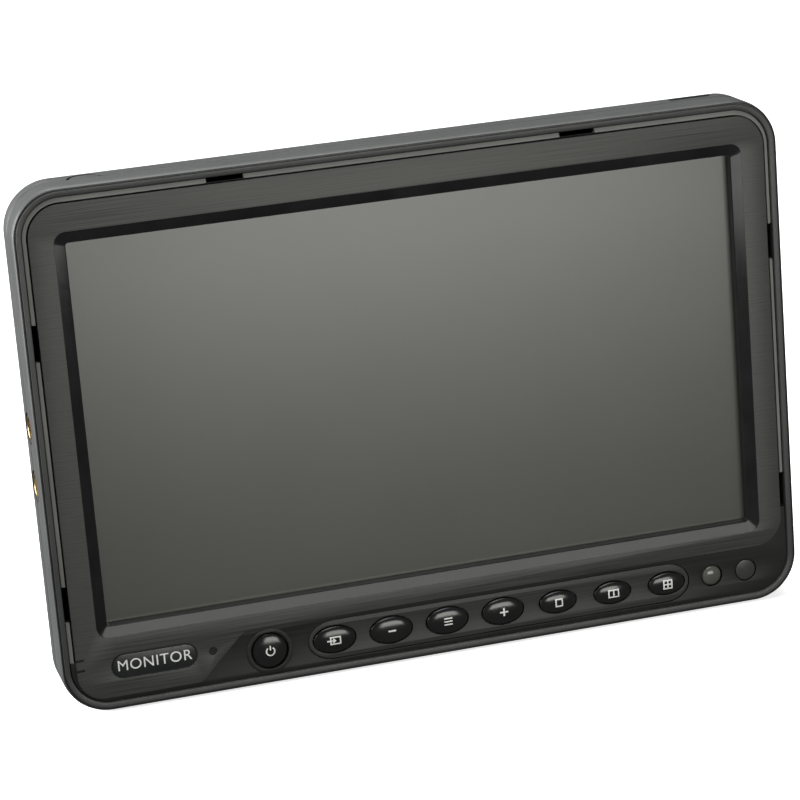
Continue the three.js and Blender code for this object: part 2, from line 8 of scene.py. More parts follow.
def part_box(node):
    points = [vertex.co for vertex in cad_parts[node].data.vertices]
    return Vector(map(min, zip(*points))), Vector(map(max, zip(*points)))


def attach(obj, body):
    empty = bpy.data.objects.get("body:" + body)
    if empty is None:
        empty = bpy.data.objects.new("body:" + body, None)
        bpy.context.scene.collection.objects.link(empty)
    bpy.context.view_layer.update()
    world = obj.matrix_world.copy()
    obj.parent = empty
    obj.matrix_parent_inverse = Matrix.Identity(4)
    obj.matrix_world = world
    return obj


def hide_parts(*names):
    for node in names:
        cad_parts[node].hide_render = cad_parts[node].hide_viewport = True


# ---------- frame ----------
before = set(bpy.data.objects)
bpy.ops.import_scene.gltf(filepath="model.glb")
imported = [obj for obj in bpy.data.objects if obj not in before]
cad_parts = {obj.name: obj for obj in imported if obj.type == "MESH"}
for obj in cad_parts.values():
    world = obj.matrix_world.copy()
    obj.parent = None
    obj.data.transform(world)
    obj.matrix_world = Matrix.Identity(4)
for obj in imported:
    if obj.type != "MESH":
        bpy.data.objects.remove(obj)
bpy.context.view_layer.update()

MM = 0.001
RIM_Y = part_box("front_frame")[0].y
CASE_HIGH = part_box("front_frame")[1].z
MID_Z = CASE_HIGH / 2
HALF_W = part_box("front_frame")[1].x / MM
HALF_H = MID_Z / MM
CASE_R = 14.3

# Depths behind the front rim, in millimetres.
FIELD = 0.15
LEDGE = 0.6
PLATE_BACK = 2.1
POCKET = 2.4
FRAME_BACK = 3.8
PARTING = 9.5
COVER_FRONT = 9.9
SIDE_STRAIGHT = 15.5
BACK = 21.0
PLATEAU = 24.0

# Face layout, in millimetres from the middle of the face.
RIM_WIDE = 3.1
FIELD_X = 110.9
FIELD_TOP = 73.7
FIELD_R = 9.6
CONTROL_TOP = -60.7
FIELD_FOOT = -74.3
SCREEN_X = 100.4
SCREEN_LOW = -52.5
SCREEN_HIGH = 62.15
CHAMFER = 3.35
CHAMFER_DEPTH = 1.0
CLIP_HALF = 5.5
KEY_GAP = 0.42
ARC_STEPS = 20

KEYS = ["power", "av", "minus", "menu", "plus", "single_view", "split_view", "quad_view"]


def place(x, depth, z):
    """A point of the frame, in metres, from millimetres on the face and a depth behind the rim."""
    return Vector((x * MM, RIM_Y + depth * MM, MID_Z + z * MM))


def node_spot(node):
    """Middle of a node seen from the front, and its half width and half height, in millimetres."""
    low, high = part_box(node)
    x = (low.x + high.x) / 2 / MM
    z = ((low.z + high.z) / 2 - MID_Z) / MM
    return x, z, (high.x - low.x) / 2 / MM, (high.z - low.z) / 2 / MM


# ---------- camera ----------
# Fitted to the photo: focal length in mm, eye on the face's axes, line of sight, roll in degrees.
LENS = 135.84
EYE = (-221.05, -830.87, 234.61)
GAZE = (0.24070, 0.93481, -0.26114)
ROLL = 4.667


def add_camera():
    """Left of the screen's axis and above it, rolled a little so that the monitor leans."""
    data = bpy.data.cameras.new("view")
    data.sensor_width = 36.0
    data.lens = LENS
    data.clip_start = 0.05
    data.clip_end = 50
    camera = bpy.data.objects.new("view", data)
    bpy.context.scene.collection.objects.link(camera)
    eye = place(*EYE)
    forward = Vector(GAZE).normalized()
    roll = math.radians(ROLL)
    side = forward.cross(Vector((0, 0, 1))).normalized()
    up = side.cross(forward).normalized()
    turned_side = side * math.cos(roll) - up * math.sin(roll)
    turned_up = up * math.cos(roll) + side * math.sin(roll)
    basis = Matrix((turned_side, turned_up, -forward)).transposed().to_4x4()
    camera.matrix_world = Matrix.Translation(eye) @ basis
    bpy.context.scene.camera = camera


add_camera()


# ---------- materials ----------
class Shader:
    """A node material with short calls for its nodes."""

    def __init__(self, name, **sockets):
        self.material = bpy.data.materials.new(name)
        self.material.use_nodes = True
        self.tree = self.material.node_tree
        self.surface = self.tree.nodes["Principled BSDF"]
        self.set(**sockets)

    def set(self, **sockets):
        for name, value in sockets.items():
            self.surface.inputs[name.replace("_", " ")].default_value = value

    def node(self, kind, **settings):
        made = self.tree.nodes.new(kind)
        for name, value in settings.items():
            if name in made.inputs:
                made.inputs[name].default_value = value
            else:
                setattr(made, name, value)
        return made

    def link(self, source, target):
        self.tree.links.new(source, target)

    def noise(self, scale, detail=2.0, stretch=(1, 1, 1)):
        """Noise in object space; stretch squeezes the pattern along each axis."""
        place_node = self.node("ShaderNodeTexCoord")
        mapping = self.node("ShaderNodeMapping")
        mapping.inputs["Scale"].default_value = stretch
        noise = self.node("ShaderNodeTexNoise", Scale=scale, Detail=detail)
        self.link(place_node.outputs["Object"], mapping.inputs["Vector"])
        self.link(mapping.outputs["Vector"], noise.inputs["Vector"])
        return noise.outputs["Fac"]

    def spread(self, factor, low, high, start=0.3, end=0.7):
        """Maps a 0 to 1 factor onto low to high."""
        ranged = self.node("ShaderNodeMapRange")
        ranged.inputs["From Min"].default_value = start
        ranged.inputs["From Max"].default_value = end
        ranged.inputs["To Min"].default_value = low
        ranged.inputs["To Max"].default_value = high
        self.link(factor, ranged.inputs["Value"])
        return ranged.outputs["Result"]

    def tint(self, factor, dark, light):
        """Base colour that varies between two colours with a factor."""
        ramp = self.node("ShaderNodeValToRGB")
        ramp.color_ramp.elements[0].position = 0.3
        ramp.color_ramp.elements[0].color = (*dark, 1)
        ramp.color_ramp.elements[1].position = 0.7
        ramp.color_ramp.elements[1].color = (*light, 1)
        self.link(factor, ramp.inputs["Fac"])
        self.link(ramp.outputs["Color"], self.surface.inputs["Base Color"])

    def rough(self, factor, low, high):
        self.link(self.spread(factor, low, high), self.surface.inputs["Roughness"])

    def bump(self, factor, strength, distance):
        bump = self.node("ShaderNodeBump", Strength=strength, Distance=distance)
        self.link(factor, bump.inputs["Height"])
        self.link(bump.outputs["Normal"], self.surface.inputs["Normal"])


def grained_plastic(name, dark, light, rough_low, rough_high, grain=2600, strength=0.25):
    """Moulded plastic: slow colour drift, fine spark-eroded grain."""
    shader = Shader(name, Specular_IOR_Level=0.5)
    shader.tint(shader.noise(60, 3), dark, light)
    grain_noise = shader.noise(grain, 2)
    shader.rough(grain_noise, rough_low, rough_high)
    shader.bump(grain_noise, strength, 0.00003)
    return shader.material


def brushed_foil(name, dark, light):
    """Dark foil with fine streaks that run across the face."""
    shader = Shader(name, Metallic=0.35, Specular_IOR_Level=0.5)
    fine = shader.noise(1, 4, stretch=(28, 200, 4600))
    shader.tint(fine, dark, light)
    shader.rough(fine, 0.42, 0.58)
    shader.bump(fine, 0.45, 0.00003)
    return shader.material


def gloss_plastic(name, dark, light, rough_low, rough_high, shine=0.5):
    """Polished moulding with faint surface waviness."""
    shader = Shader(name, Specular_IOR_Level=shine)
    shader.tint(shader.noise(90, 2), dark, light)
    shader.rough(shader.noise(700, 3), rough_low, rough_high)
    shader.bump(shader.noise(260, 1), 0.05, 0.00004)
    return shader.material


def screen_surface():
    """Unlit display behind an anti-glare film."""
    shader = Shader("screen_film", Specular_IOR_Level=0.9)
    shader.tint(shader.noise(30, 1), (0.044, 0.045, 0.036), (0.048, 0.049, 0.040))
    shader.rough(shader.noise(4000, 2), 0.34, 0.40)
    shader.bump(shader.noise(5200, 1), 0.06, 0.00001)
    return shader.material


def metal(name, dark, light, rough_low, rough_high, stretch=(1, 1, 1)):
    """Metal with light drift in tone and fine marks."""
    shader = Shader(name, Metallic=1.0)
    shader.tint(shader.noise(120, 3, stretch), dark, light)
    shader.rough(shader.noise(900, 3, stretch), rough_low, rough_high)
    shader.bump(shader.noise(1500, 2, stretch), 0.08, 0.00003)
    return shader.material


def circuit_board():
    """Green solder mask with a fine pattern of lighter copper under it."""
    shader = Shader("solder_mask", Specular_IOR_Level=0.5, Coat_Weight=0.4)
    shader.tint(shader.noise(420, 4), (0.010, 0.060, 0.028), (0.030, 0.120, 0.060))
    shader.rough(shader.noise(800, 2), 0.25, 0.4)
    shader.bump(shader.noise(420, 4), 0.1, 0.00005)
    return shader.material


CASE = grained_plastic("case_abs", (0.052, 0.054, 0.054), (0.062, 0.064, 0.064), 0.36, 0.52)
# Darker copy of the case plastic, used on the front rim as painted shade.
RIM_SHADE = grained_plastic("rim_painted_shade", (0.022, 0.023, 0.023), (0.032, 0.033, 0.033), 0.4, 0.55)
RAIL = grained_plastic(
    "rail_abs", (0.03, 0.031, 0.032), (0.042, 0.043, 0.044), 0.45, 0.6, 1800, 0.4)
PLATE = brushed_foil("brushed_foil", (0.020, 0.020, 0.019), (0.080, 0.080, 0.076))
CONTROL = brushed_foil("control_foil", (0.007, 0.007, 0.007), (0.019, 0.019, 0.019))
STRIP = brushed_foil("strip_foil", (0.024, 0.024, 0.024), (0.05, 0.05, 0.05))
# Pale grey on the ledge: painted highlight where the sloped strip catches the light.
LEDGE_HIGHLIGHT = grained_plastic("ledge_painted_highlight", (0.20, 0.20, 0.19), (0.25, 0.25, 0.24), 0.3, 0.4)
GLOSS = gloss_plastic("gloss_black", (0.010, 0.010, 0.011), (0.016, 0.016, 0.017), 0.1, 0.15, 0.19)
KEY_CAP = gloss_plastic("key_black", (0.006, 0.006, 0.006), (0.010, 0.010, 0.010), 0.16, 0.22)
BADGE = gloss_plastic("badge_black", (0.008, 0.010, 0.010), (0.014, 0.016, 0.016), 0.3, 0.4)
LEGEND = grained_plastic("legend_white", (0.72, 0.72, 0.71), (0.8, 0.8, 0.79), 0.45, 0.55)
SCREEN = screen_surface()
SMOKE = gloss_plastic("smoke_lens", (0.07, 0.07, 0.062), (0.10, 0.10, 0.09), 0.1, 0.16)
SENSOR = gloss_plastic("sensor_window", (0.028, 0.028, 0.028), (0.038, 0.038, 0.037), 0.28, 0.36)
LED_LENS = gloss_plastic("led_lens", (0.10, 0.09, 0.07), (0.14, 0.125, 0.10), 0.1, 0.16)
STEEL = metal("plain_steel", (0.50, 0.50, 0.51), (0.62, 0.62, 0.63), 0.28, 0.42)
SCREW = metal("black_zinc", (0.22, 0.22, 0.225), (0.32, 0.32, 0.325), 0.3, 0.42)
NICKEL = metal("nickel", (0.55, 0.54, 0.52), (0.66, 0.65, 0.62), 0.18, 0.3)
BRASS = metal("plated_brass", (0.36, 0.29, 0.15), (0.46, 0.38, 0.21), 0.24, 0.36)
RED = grained_plastic("insulator_red", (0.11, 0.03, 0.024), (0.15, 0.045, 0.036), 0.4, 0.5)
CREAM = grained_plastic("insulator_cream", (0.30, 0.28, 0.24), (0.36, 0.34, 0.30), 0.4, 0.5)
BOARD = circuit_board()
# Black epoxy of the chips and other dark parts; also near-black painted shade in the groove behind
# the rim, along the parting line and on the pocket floor.
EPOXY_AND_SHADE = grained_plastic("chip_epoxy_and_painted_shade", (0.012, 0.012, 0.013), (0.022, 0.022, 0.023), 0.4, 0.55)
ACRYLIC = gloss_plastic("guide_acrylic", (0.72, 0.72, 0.70), (0.8, 0.8, 0.78), 0.1, 0.2)


# ---------- outlines ----------
# Lists of (x, z) points in millimetres, counter-clockwise from the front.
def arc(cx, cz, r, start, end, steps=ARC_STEPS, rz=None):
    """Points along a circular or elliptical arc; angles in degrees."""
    tall = r if rz is None else rz
    points = []
    for i in range(steps + 1):
        turn = math.radians(start + (end - start) * i / steps)
        points.append((cx + r * math.cos(turn), cz + tall * math.sin(turn)))
    return points


def round_rect(x0, x1, z0, z1, r, steps=ARC_STEPS):
    return (
        arc(x1 - r, z1 - r, r, 0, 90, steps)
        + arc(x0 + r, z1 - r, r, 90, 180, steps)
        + arc(x0 + r, z0 + r, r, 180, 270, steps)
        + arc(x1 - r, z0 + r, r, 270, 360, steps)
    )


def case_outline(inset, steps=ARC_STEPS):
    w = HALF_W - inset
    h = HALF_H - inset
    return round_rect(-w, w, -h, h, CASE_R - inset, steps)


def screen_outline(grow, r, steps=10):
    return round_rect(
        -SCREEN_X - grow, SCREEN_X + grow, SCREEN_LOW - grow, SCREEN_HIGH + grow, r, steps
    )


def oval(x, z, half_w, half_h, steps=48):
    return arc(x, z, half_w, 0, 360 * (steps - 1) / steps, steps - 1, half_h)


def pill(x, z, half_w, half_h, steps=16):
    run = half_w - half_h
    return arc(x + run, z, half_h, -90, 90, steps) + arc(x - run, z, half_h, 90, 270, steps)


# ---------- mesh building ----------
def new_object(name, mesh):
    made = bpy.data.objects.new(name, mesh)
    bpy.context.scene.collection.objects.link(made)
    return made


def mesh_from(name, vertices, faces):
    mesh = bpy.data.meshes.new(name)
    mesh.from_pydata([tuple(v) for v in vertices], [], faces)
    work = bmesh.new()
    work.from_mesh(mesh)
    bmesh.ops.recalc_face_normals(work, faces=work.faces)
    work.to_mesh(mesh)
    work.free()
    return new_object(name, mesh)


def loft(name, sections, capped=True):
    """Skin through outlines of equal point count, each (points, depth).

    Without caps the last outline is joined back to the first.
    """
    count = len(sections[0][0])
    vertices = [place(x, depth, z) for points, depth in sections for x, z in points]
    faces = []
    spans = len(sections) - 1 if capped else len(sections)
    for ring in range(spans):
        first = ring * count
        second = ((ring + 1) % len(sections)) * count
        for i in range(count):
            j = (i + 1) % count
            faces.append((first + i, second + i, second + j, first + j))
    if capped:
        faces.append(tuple(range(count)))
        faces.append(tuple(range(len(vertices) - 1, len(vertices) - 1 - count, -1)))
    return mesh_from(name, vertices, faces)


def ring_band(name, outline_of, profile):
    """A closed band round the case: profile is a loop of (inset, depth)."""
    return loft(name, [(outline_of(inset), depth) for inset, depth in profile], capped=False)


def plate(name, outline, holes, near, far, bevel=0.0):
    """Flat piece with holes; its edges are rounded by the bevel."""
    data = bpy.data.curves.new(name, "CURVE")
    data.dimensions = "2D"
    data.fill_mode = "BOTH"
    data.extrude = max((far - near) / 2 - bevel, 0.001) * MM
    data.bevel_depth = bevel * MM
    data.bevel_resolution = 2
    data.offset = -bevel * MM
    for points in [outline, *holes]:
        spline = data.splines.new("POLY")
        spline.points.add(len(points) - 1)
        spline.use_cyclic_u = True
        for spot, (x, z) in zip(spline.points, points):
            spot.co = (x * MM, z * MM, 0, 1)
    shape = new_object(name + "_curve", data)
    bpy.context.view_layer.update()
    evaluated = shape.evaluated_get(bpy.context.evaluated_depsgraph_get())
    mesh = bpy.data.meshes.new_from_object(evaluated)
    middle = Matrix.Translation(place(0, (near + far) / 2, 0))
    mesh.transform(middle @ Matrix.Rotation(math.pi / 2, 4, "X"))
    bpy.data.objects.remove(shape)
    bpy.data.curves.remove(data)
    mesh.name = name
    work = bmesh.new()
    work.from_mesh(mesh)
    bmesh.ops.remove_doubles(work, verts=work.verts, dist=1e-6)
    bmesh.ops.recalc_face_normals(work, faces=work.faces)
    work.to_mesh(mesh)
    work.free()
    return new_object(name, mesh)


def lathe(name, centre, axis, profile, steps=48):
    """Turned piece: profile points are (radius, distance along the axis), in millimetres."""
    along = Vector(axis).normalized()
    side = Vector((0, 0, 1)) if abs(along.z) < 0.9 else Vector((1, 0, 0))
    across = along.cross(side).normalized()
    vertices = []
    for i in range(steps):
        turn = 2 * math.pi * i / steps
        outward = side * math.cos(turn) + across * math.sin(turn)
        for radius, distance in profile:
            vertices.append(Vector(centre) + (outward * radius + along * distance) * MM)
    count = len(profile)
    faces = []
    for i in range(steps):
        here = i * count
        there = ((i + 1) % steps) * count
        for p in range(count - 1):
            faces.append((here + p, here + p + 1, there + p + 1, there + p))
    made = mesh_from(name, vertices, faces)
    work = bmesh.new()
    work.from_mesh(made.data)
    bmesh.ops.remove_doubles(work, verts=work.verts, dist=1e-7)
    bmesh.ops.dissolve_degenerate(work, edges=work.edges, dist=1e-8)
    bmesh.ops.recalc_face_normals(work, faces=work.faces)
    work.to_mesh(made.data)
    work.free()
    return made


def block(name, x0, x1, z0, z1, near, far, bevel=0.0):
    made = loft(name, [([(x0, z0), (x1, z0), (x1, z1), (x0, z1)], near),
                       ([(x0, z0), (x1, z0), (x1, z1), (x0, z1)], far)])
    if bevel:
        bevel_edges(made, bevel, 30)
    return made


def apply_modifiers(target):
    bpy.context.view_layer.update()
    evaluated = target.evaluated_get(bpy.context.evaluated_depsgraph_get())
    mesh = bpy.data.meshes.new_from_object(evaluated)
    old = target.data
    target.modifiers.clear()
    target.data = mesh
    bpy.data.meshes.remove(old)


def bevel_edges(target, width, angle=30, segments=2):
    bevel = target.modifiers.new("bevel", "BEVEL")
    bevel.width = width * MM
    bevel.segments = segments
    bevel.limit_method = "ANGLE"
    bevel.angle_limit = math.radians(angle)
    bevel.harden_normals = False
    apply_modifiers(target)


def carve(target, cutters):
    """Cuts each cutter out of the target and removes it."""
    for cutter in cutters:
        boolean = target.modifiers.new("cut", "BOOLEAN")
        boolean.operation = "DIFFERENCE"
        boolean.solver = "EXACT"
        boolean.object = cutter
        apply_modifiers(target)
        bpy.data.objects.remove(cutter)
    return target


def merge(name, pieces):
    """Joins finished pieces into one object and keeps their materials."""
    work = bmesh.new()
    materials = []
    for piece in pieces:
        offset = len(work.faces)
        work.from_mesh(piece.data)
        work.faces.ensure_lookup_table()
        slots = []
        for material in piece.data.materials:
            if material not in materials:
                materials.append(material)
            slots.append(materials.index(material))
        for face in work.faces[offset:]:
            face.material_index = slots[face.material_index] if slots else 0
    mesh = bpy.data.meshes.new(name)
    work.to_mesh(mesh)
    work.free()
    for material in materials:
        mesh.materials.append(material)
    for piece in pieces:
        bpy.data.objects.remove(piece)
    return new_object(name, mesh)


def paint(target, material):
    target.data.materials.clear()
    target.data.materials.append(material)
    return target


def smooth(target, angle=35):
    target.data.shade_smooth()
    target.data.set_sharp_from_angle(angle=math.radians(angle))


def settle(target, body, slot, *nodes, angle=35):
    """Finishes a piece: shading, the body it rides on and the nodes it stands for; the slot
    argument is not used.
    """
    smooth(target, angle)
    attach(target, body)
    if nodes:
        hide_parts(*nodes)


# ---------- front frame ----------
def clip_cutters(margin=0.0):
    """Boxes through the six slots that take the clips of a sunshade."""
    boxes = []
    near, far = -1.0, 8.0
    low, high = FIELD_TOP + 0.2, FIELD_TOP + 2.05
    for x in (-53, 53):
        boxes.append(block("clip", x - CLIP_HALF, x + CLIP_HALF, low, high, near, far))
    for z in (34.3, -44):
        for side in (-1, 1):
            inner, outer = side * FIELD_X, side * (FIELD_X + 1.85)
            left, right = min(inner, outer), max(inner, outer)
            boxes.append(block("clip", left, right, z - CLIP_HALF, z + CLIP_HALF, near, far))
    return boxes


def jack_cutters():
    cutters = []
    for node in ("upper_jack_barrel", "lower_jack_barrel"):
        low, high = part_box(node)
        centre = Vector((-HALF_W * MM, (low.y + high.y) / 2, (low.z + high.z) / 2))
        cutters.append(lathe("bore", centre, (1, 0, 0), [(0, -3), (4.8, -3), (4.8, 4), (0, 4)], 64))
    return cutters


def side_profile():
    """Rim, front edge and side wall of the front frame, as a closed loop."""
    return [
        (2.8, POCKET), (2.8, 0.35), (2.72, 0.12), (2.5, 0.0),
        (1.32, 0.0), (1.22, 0.1), (1.2, 0.75), (0.75, 0.75), (0.73, 0.35), (0.62, 0.25),
        (0.5, 0.35), (0.3, 0.8), (0.12, 1.5), (0.03, 2.4), (0, 3.2),
        (0, PARTING - 0.5), (0.12, PARTING - 0.2), (0.4, PARTING),
        (2.3, PARTING), (2.3, POCKET),
    ]


def band_shade_slot(face):
    """Material slot of a face of the band: 0 case plastic on the side wall, 1 front rim in painted
    shade, 2 near-black painted shade in the groove between them and along the parting line.
    """
    depth = (face.center.y - RIM_Y) / MM
    inset_x = HALF_W - abs(face.center.x) / MM
    inset_z = HALF_H - abs(face.center.z - MID_Z) / MM
    if 0.3 < depth < 0.8 and min(inset_x, inset_z) > 0.7 and abs(face.normal.y) < 0.99:
        return 2
    if abs(depth - 0.75) < 0.05 and face.normal.y < -0.99:
        return 2
    # Faces along the parting line are painted near black as the shade of the gap.
    if depth > PARTING - 0.5:
        return 2
    # Faces nearer than 0.45 mm take the rim's painted shade.
    return 1 if depth < 0.45 else 0


def front_frame():
    band = ring_band("front_frame_skin", lambda inset: case_outline(inset, 24), side_profile())
    carve(band, jack_cutters())
    # Slots of the band: case plastic, the rim's painted shade and the near-black painted shade of
    # the groove and parting line.
    for material in (CASE, RIM_SHADE, EPOXY_AND_SHADE):
        band.data.materials.append(material)
    for face in band.data.polygons:
        face.material_index = band_shade_slot(face)
    floor_holes = [screen_outline(0.4, 1.2)]
    floor = plate("pocket_floor", case_outline(2.5), floor_holes, POCKET, FRAME_BACK)
    carve(floor, clip_cutters())
    # The pocket floor is painted near black: painted shade seen through the clip slots.
    paint(floor, EPOXY_AND_SHADE)
    tongue = plate_on_top("tongue", -91.7, 4.3, PARTING - 0.4, 0.05, 2.0)
    paint(tongue, CASE)
    skin = merge("front_frame_skin", [band, floor, tongue])
    settle(skin, "housing", "case_plastic", "front_frame")


def plate_on_top(name, x, r, start, top, bottom):
    """Half-round tab that lies in the top side of the case, its round end towards the back."""
    points = [(r, -0.4)] + arc(0, 0, r, 0, 180, 24) + [(-r, -0.4)]
    vertices = []
    for level in (top, bottom):
        for along, back in points:
            y = RIM_Y + (PARTING + back) * MM
            vertices.append(Vector(((x + along) * MM, y, CASE_HIGH - level * MM)))
    count = len(points)
    faces = [tuple(range(count)), tuple(range(2 * count - 1, count - 1, -1))]
    for i in range(count):
        j = (i + 1) % count
        faces.append((i, j, count + j, count + i))
    made = mesh_from(name, vertices, faces)
    bevel_edges(made, 0.12, 40)
    return made


# ---------- face plate ----------
def field_outline(shrink=0.0):
    """Raised field with its foot at lower left."""
    x = FIELD_X - shrink
    top = FIELD_TOP - shrink
    foot = FIELD_FOOT + shrink
    step = CONTROL_TOP + shrink
    r = FIELD_R - shrink
    return (
        arc(x - r, top - r, r, 0, 90)
        + arc(-x + r, top - r, r, 90, 180)
        + arc(-x + 8, foot + 8, 8, 180, 270)
        + arc(-75.7, foot + 4, 4, 270, 315, 10)
        + arc(-58.3, step - 5, 5, 135, 90, 10)
        + arc(x - 8.5, step + 8.5, 8.5, 270, 360)
    )


def strip_outline(grow=0.0):
    """Sunk strip behind the seven oval keys, with elliptical ends."""
    first = node_spot("av_button")[0]
    last = node_spot("quad_view_button")[0]
    high, low = -61.9 + grow, -74.2 - grow
    mid, half = (high + low) / 2, (high - low) / 2
    return (
        arc(last, mid, 7.4 + grow, -90, 90, 20, half)
        + arc(first, mid, 8.2 + grow, 90, 270, 20, half)
    )


def ledge_sides():
    """Outer and inner edge of the ledge round the left, top and right of the field."""
    left_end, right_end = -62.0, -49.5
    edges = []
    outside = (HALF_W - RIM_WIDE, HALF_H - RIM_WIDE, CASE_R - RIM_WIDE)
    inside = (FIELD_X + 0.5, FIELD_TOP + 0.5, FIELD_R + 0.5)
    for x, top, r in (outside, inside):
        run = arc(x - r, top - r, r, 0, 90) + arc(-x + r, top - r, r, 90, 180)
        edges.append([(x, right_end), *run, (-x, left_end)])
    return edges


def ledge():
    """Sloped strip beside the field, interrupted by the clip slots, painted pale grey as a painted
    highlight.
    """
    outer, inner = ledge_sides()
    count = len(outer)
    rows = [(outer, LEDGE + 0.35), (inner, LEDGE - 0.1), (inner, PLATE_BACK), (outer, PLATE_BACK)]
    vertices = [place(x, depth, z) for points, depth in rows for x, z in points]
    faces = [
        tuple(row * count for row in range(4)),
        tuple((4 - row) * count - 1 for row in range(4)),
    ]
    for row in range(4):
        first, second = row * count, (row + 1) % 4 * count
        for i in range(count - 1):
            faces.append((first + i, second + i, second + i + 1, first + i + 1))
    strip = mesh_from("ledge_strip", vertices, faces)
    carve(strip, clip_cutters())
    return paint(strip, LEDGE_HIGHLIGHT)


def ledge_cutter():
    """Clears the base for the ledge and for the dark gap between it and the field."""
    outer, _ = ledge_sides()
    left_end, right_end = outer[-1][1], outer[0][1]
    run = arc(FIELD_X - FIELD_R, FIELD_TOP - FIELD_R, FIELD_R, 0, 90)
    run += arc(-FIELD_X + FIELD_R, FIELD_TOP - FIELD_R, FIELD_R, 90, 180)
    inner = [(FIELD_X, right_end), *run, (-FIELD_X, left_end)]
    corner = [(-HALF_W, left_end), (-HALF_W, HALF_H), (HALF_W, HALF_H), (HALF_W, right_end)]
    outline = inner + corner
    return loft("ledge_gap", [(outline, -1), (outline, PLATE_BACK + 1)])


def key_hole(key, clearance):
    x, z, half_w, half_h = node_spot(key + "_button")
    flange = 1.2
    return oval(x, z, half_w - flange + clearance, half_h - flange + clearance)


def round_hole(node, r):
    x, z, _, _ = node_spot(node)
    return oval(x, z, r, r)


def face_plate():
    strip_keys = [key_hole(key, KEY_GAP) for key in KEYS[1:]]
    spots = [
        round_hole("ir_window", 3.45),
        round_hole("sensor_window", 3.5),
        round_hole("status_led", 1.25),
    ]
    badge_x, badge_z, badge_w, badge_h = node_spot("badge_insert")
    badge_hole = pill(badge_x, badge_z, badge_w + 0.4, badge_h + 0.4)
    window = screen_outline(CHAMFER - 0.9, 3.0)
    base_outline = case_outline(RIM_WIDE)

    base_holes = [window, strip_outline(), key_hole("power", KEY_GAP), *spots[:2]]
    base = plate("plate_base", base_outline, base_holes, LEDGE, PLATE_BACK, 0.08)
    strip = plate("plate_strip", strip_outline(-0.2), strip_keys, LEDGE + 0.3, PLATE_BACK, 0.06)
    field_holes = [screen_outline(CHAMFER, 3.5), badge_hole, spots[2]]
    field = plate("plate_field", field_outline(), field_holes, FIELD, LEDGE + 0.2, 0.1)
    collar = plate("plate_collar", oval(*node_spot("power_button")[:2], 7.0, 7.0, 64),
                   [key_hole("power", KEY_GAP)], LEDGE - 0.35, LEDGE + 0.2, 0.14)
    paint(field, PLATE)
    paint(strip, STRIP)
    for piece in (base, collar):
        paint(piece, CONTROL)
    ticks = [block("tick", -111.2, -108.5, z - 0.35, z + 0.35, -1, 1.2) for z in (-61.5, -64.7)]
    carve(field, ticks)
    carve(base, [ledge_cutter()])
    bevel = loft("window_bevel", [
        (screen_outline(CHAMFER, 3.5, 12), FIELD + 0.02),
        (screen_outline(CHAMFER * 0.93, 3.3, 12), FIELD + 0.06),
        (screen_outline(0.3, 1.15, 12), CHAMFER_DEPTH - 0.066),
        (screen_outline(0.12, 1.0, 12), CHAMFER_DEPTH - 0.02),
        (screen_outline(0, 0.9, 12), CHAMFER_DEPTH + 0.12),
        (screen_outline(0, 0.9, 12), FRAME_BACK),
        (screen_outline(CHAMFER, 3.5, 12), FRAME_BACK),
    ], capped=False)
    paint(bevel, GLOSS)
    skin = merge("face_plate_skin", [base, strip, field, collar, bevel, ledge()])
    settle(skin, "housing", "brushed_plate", "face_plate")


# ---------- legends ----------
def stroke(points, width, closed=False):
    """Outline of a thick line through the points."""
    half = width / 2
    left, right = [], []
    count = len(points)
    for i, point in enumerate(points):
        here = Vector(point)
        before = Vector(points[(i - 1) % count]) if closed or i else None
        after = Vector(points[(i + 1) % count]) if closed or i < count - 1 else None
        first = (here - before).normalized() if before is not None else (after - here).normalized()
        second = (after - here).normalized() if after is not None else first
        normal = Vector((-first.y - second.y, first.x + second.x)).normalized()
        reach = half / max(normal.dot(Vector((-second.y, second.x))), 0.3)
        left.append(here + normal * reach)
        right.append(here - normal * reach)
    if closed:
        return [tuple(p) for p in right], [tuple(p) for p in left]
    return [tuple(p) for p in right + left[::-1]], None


def frame_mark(half_w, half_h, width, bars):
    """Rectangle outline with inner bars: the picture of a split screen."""
    corners = [(-half_w, -half_h), (half_w, -half_h), (half_w, half_h), (-half_w, half_h)]
    marks = [stroke(corners, width, closed=True)]
    for bar in bars:
        marks.append(stroke(bar, width))
    return marks


def key_marks():
    """Symbols on the keys, each a list of (outline, hole) in millimetres from the key's middle."""
    width = 0.42
    power_ring = arc(0, 0, 1.25, 125, 415, 28)
    arrow = [
        stroke([(-2.6, 0), (-0.1, 0)], width),
        stroke([(-0.75, 0.65), (-0.1, 0), (-0.75, -0.65)], width),
    ]
    return {
        "power": [stroke(power_ring, width), stroke([(0, 0.35), (0, 1.75)], width)],
        "av": frame_mark(1.5, 1.05, width, []) + arrow,
        "minus": [stroke([(-1.2, 0), (1.2, 0)], 0.5)],
        "menu": [stroke([(-1.3, z), (1.3, z)], width) for z in (-0.95, 0, 0.95)],
        "plus": [stroke([(-1.3, 0), (1.3, 0)], 0.5), stroke([(0, -1.3), (0, 1.3)], 0.5)],
        "single_view": frame_mark(1.0, 1.1, width, []),
        "split_view": frame_mark(1.55, 1.1, width, [[(0, -1.1), (0, 1.1)]]),
        "quad_view": frame_mark(1.3, 1.3, width, [[(0, -1.3), (0, 1.3)], [(-1.3, 0), (1.3, 0)]]),
    }


def crown_depth(reach):
    """Depth of a key's crown at a share of the way from its middle to its edge."""
    return -0.47 + 1.42 * (1 - math.sqrt(max(1 - (0.985 * min(reach, 1)) ** 2, 0.0)))


def drape(target, x, z, half_w, half_h, lift):
    """Lays flat marks on a key's crown."""
    for vertex in target.data.vertices:
        along = (vertex.co.x / MM - x) / half_w
        up = ((vertex.co.z - MID_Z) / MM - z) / half_h
        depth = crown_depth(math.hypot(along, up)) - lift
        vertex.co.y += depth * MM
    target.data.update()


